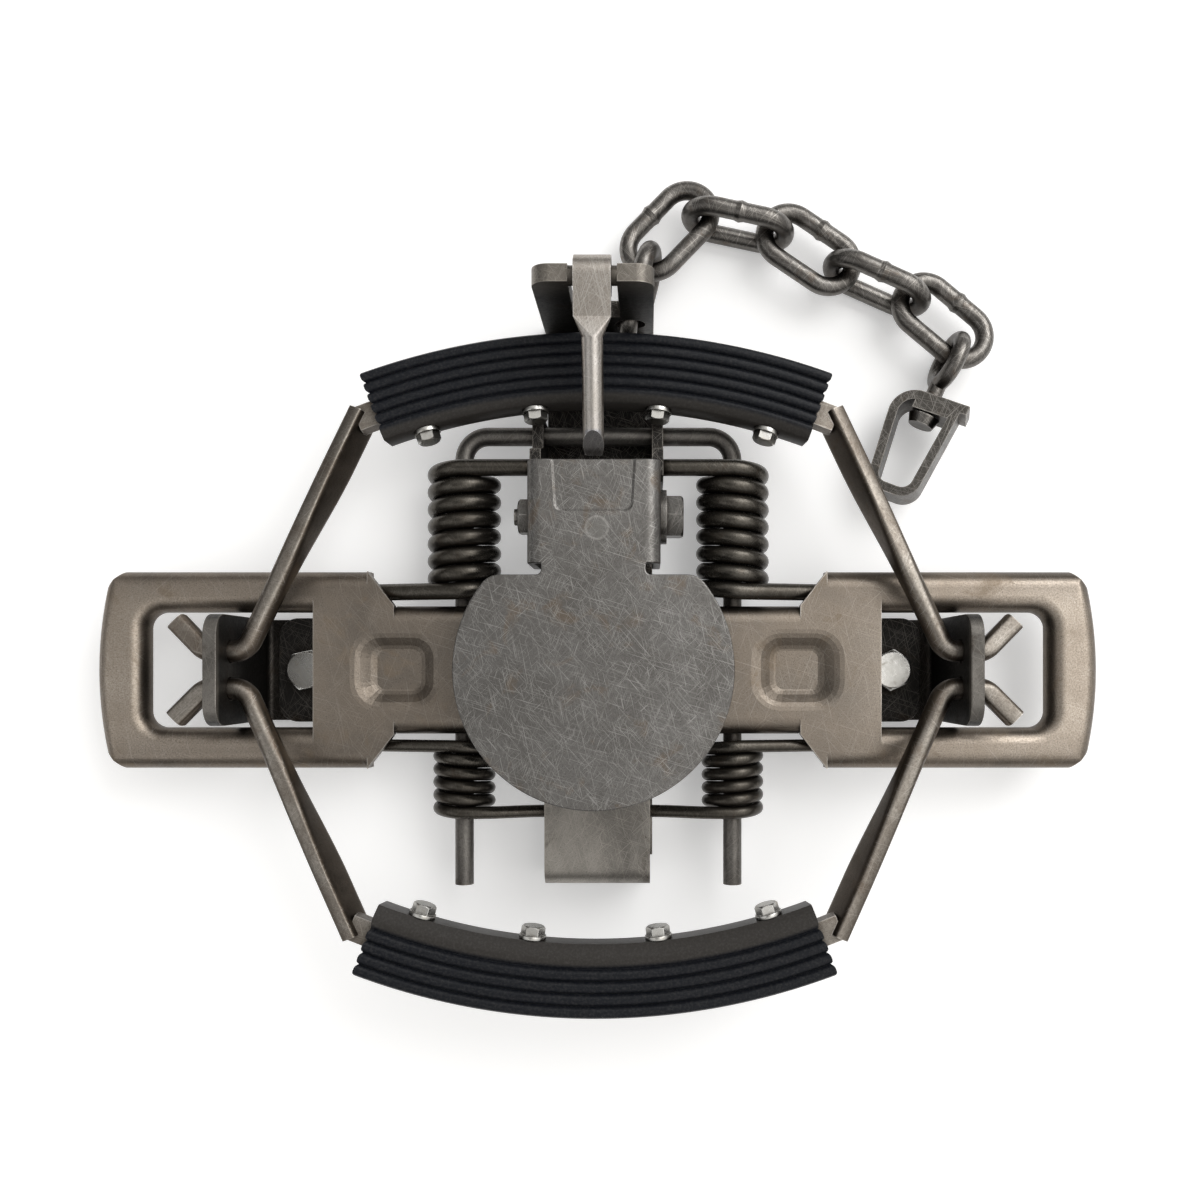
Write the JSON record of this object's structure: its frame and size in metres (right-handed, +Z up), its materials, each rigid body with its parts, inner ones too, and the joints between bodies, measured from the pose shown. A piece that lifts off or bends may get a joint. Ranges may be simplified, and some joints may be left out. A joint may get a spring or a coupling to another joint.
{
  "type": "leghold trap",
  "caption": "Set coil-spring foothold trap with padded jaws on upright posts, two spring levers, a round trip pan, a dog and a swivel chain.",
  "frame": {"origin": "middle of the trap on the ground, under the pan", "axes": "+X along the levers, +Y towards the dog and the chain, +Z up"},
  "size_m": [0.246, 0.206, 0.0474],
  "materials": {
    "dark_steel": "oiled dark",
    "spring_steel": "oil blackened",
    "lever_steel": "satin, worn edges",
    "jaw_steel": "satin",
    "pan_steel": "scratched satin",
    "dog_steel": "bright satin",
    "pad_rubber": "ribbed rubber",
    "zinc": "zinc plated",
    "chain_steel": "plain steel"
  },
  "bodies": {
    "root": {"base_bar": "dark_steel", "cross_frame": "dark_steel", "left_jaw_post": "dark_steel", "right_jaw_post": "dark_steel", "post_bolts": "zinc", "center_rivet": "dark_steel", "u_rod": "dark_steel", "upper_left_spring": "spring_steel", "upper_right_spring": "spring_steel", "lower_left_spring": "spring_steel", "lower_right_spring": "spring_steel", "pan_bolt": "zinc", "pan_nut": "zinc"},
    "upper_jaw": {"upper_jaw": "jaw_steel", "upper_pad": "pad_rubber", "upper_pad_screws": "zinc"},
    "lower_jaw": {"lower_jaw": "jaw_steel", "lower_pad": "pad_rubber", "lower_pad_screws": "zinc"},
    "left_lever": {"left_lever": "lever_steel"},
    "right_lever": {"right_lever": "lever_steel"},
    "pan": {"pan": "pan_steel"},
    "dog": {"dog": "dog_steel"},
    "chain_link_1": {"chain_link_1": "chain_steel"},
    "chain_link_2": {"chain_link_2": "chain_steel"},
    "chain_link_3": {"chain_link_3": "chain_steel"},
    "chain_link_4": {"chain_link_4": "chain_steel"},
    "chain_link_5": {"chain_link_5": "chain_steel"},
    "chain_link_6": {"chain_link_6": "chain_steel"},
    "swivel_eye": {"swivel_eye": "chain_steel"},
    "swivel_box": {"swivel_box": "chain_steel"}
  },
  "joints": [
    {"name": "upper_jaw_hinge", "type": "hinge", "parent": "root", "child": "upper_jaw", "pos_m": [0, 0.0044, 0.029], "axis": [1, 0, 0], "range_deg": [0, 96]},
    {"name": "lower_jaw_hinge", "type": "hinge", "parent": "root", "child": "lower_jaw", "pos_m": [0, -0.0044, 0.029], "axis": [-1, 0, 0], "range_deg": [0, 90.1]},
    {"name": "left_lever_hinge", "type": "hinge", "parent": "root", "child": "left_lever", "pos_m": [-0.0335, 0, 0.013], "axis": [0, 1, 0], "range_deg": [0, 27.9], "deforming": ["upper_left_spring", "lower_left_spring"]},
    {"name": "right_lever_hinge", "type": "hinge", "parent": "root", "child": "right_lever", "pos_m": [0.0335, 0, 0.013], "axis": [0, -1, 0], "range_deg": [0, 27.9], "deforming": ["upper_right_spring", "lower_right_spring"]},
    {"name": "pan_hinge", "type": "hinge", "parent": "root", "child": "pan", "pos_m": [0, 0.0367, 0.024], "axis": [1, 0, 0], "range_deg": [0, 8]},
    {"name": "dog_hinge", "type": "hinge", "parent": "root", "child": "dog", "pos_m": [0, 0.088, 0.043], "axis": [-1, 0, 0], "range_deg": [0, 250]},
    {"name": "chain_link_1_swing", "type": "hinge", "parent": "root", "child": "chain_link_1", "pos_m": [0.00893, 0.088, 0.00864], "axis": [0, 0, 1], "range_deg": [-8, 8]},
    {"name": "chain_link_2_swing", "type": "hinge", "parent": "chain_link_1", "child": "chain_link_2", "pos_m": [0.01377, 0.1074, 0.00864], "axis": [0, 0, -1], "range_deg": [-14, 14]},
    {"name": "chain_link_3_swing", "type": "hinge", "parent": "chain_link_2", "child": "chain_link_3", "pos_m": [0.02196, 0.11589, 0.00864], "axis": [0, 0, 1], "range_deg": [-14, 14]},
    {"name": "chain_link_4_swing", "type": "hinge", "parent": "chain_link_3", "child": "chain_link_4", "pos_m": [0.04837, 0.11028, 0.00864], "axis": [0, 0, -1], "range_deg": [-14, 14]},
    {"name": "chain_link_5_swing", "type": "hinge", "parent": "chain_link_4", "child": "chain_link_5", "pos_m": [0.05816, 0.10368, 0.00864], "axis": [0, 0, 1], "range_deg": [-14, 14]},
    {"name": "chain_link_6_swing", "type": "hinge", "parent": "chain_link_5", "child": "chain_link_6", "pos_m": [0.08282, 0.0927, 0.00864], "axis": [0, 0, -1], "range_deg": [-14, 14]},
    {"name": "eye_swing", "type": "hinge", "parent": "chain_link_6", "child": "swivel_eye", "pos_m": [0.09186, 0.08511, 0.00864], "axis": [0, 0, 1], "range_deg": [-12, 12]},
    {"name": "swivel_turn", "type": "hinge", "parent": "swivel_eye", "child": "swivel_box", "pos_m": [0.08885, 0.07835, 0.00864], "axis": [-0.4067, -0.9135, 0], "continuous": true}
  ],
  "couplings": [
    {"joint": "lower_jaw_hinge", "follows": "upper_jaw_hinge", "ratio": 0.9375},
    {"joint": "left_lever_hinge", "follows": "upper_jaw_hinge", "ratio": 0.29},
    {"joint": "right_lever_hinge", "follows": "upper_jaw_hinge", "ratio": 0.29},
    {"joint": "pan_hinge", "follows": "upper_jaw_hinge", "ratio": 0.083},
    {"joint": "dog_hinge", "follows": "upper_jaw_hinge", "ratio": 2.6}
  ]
}
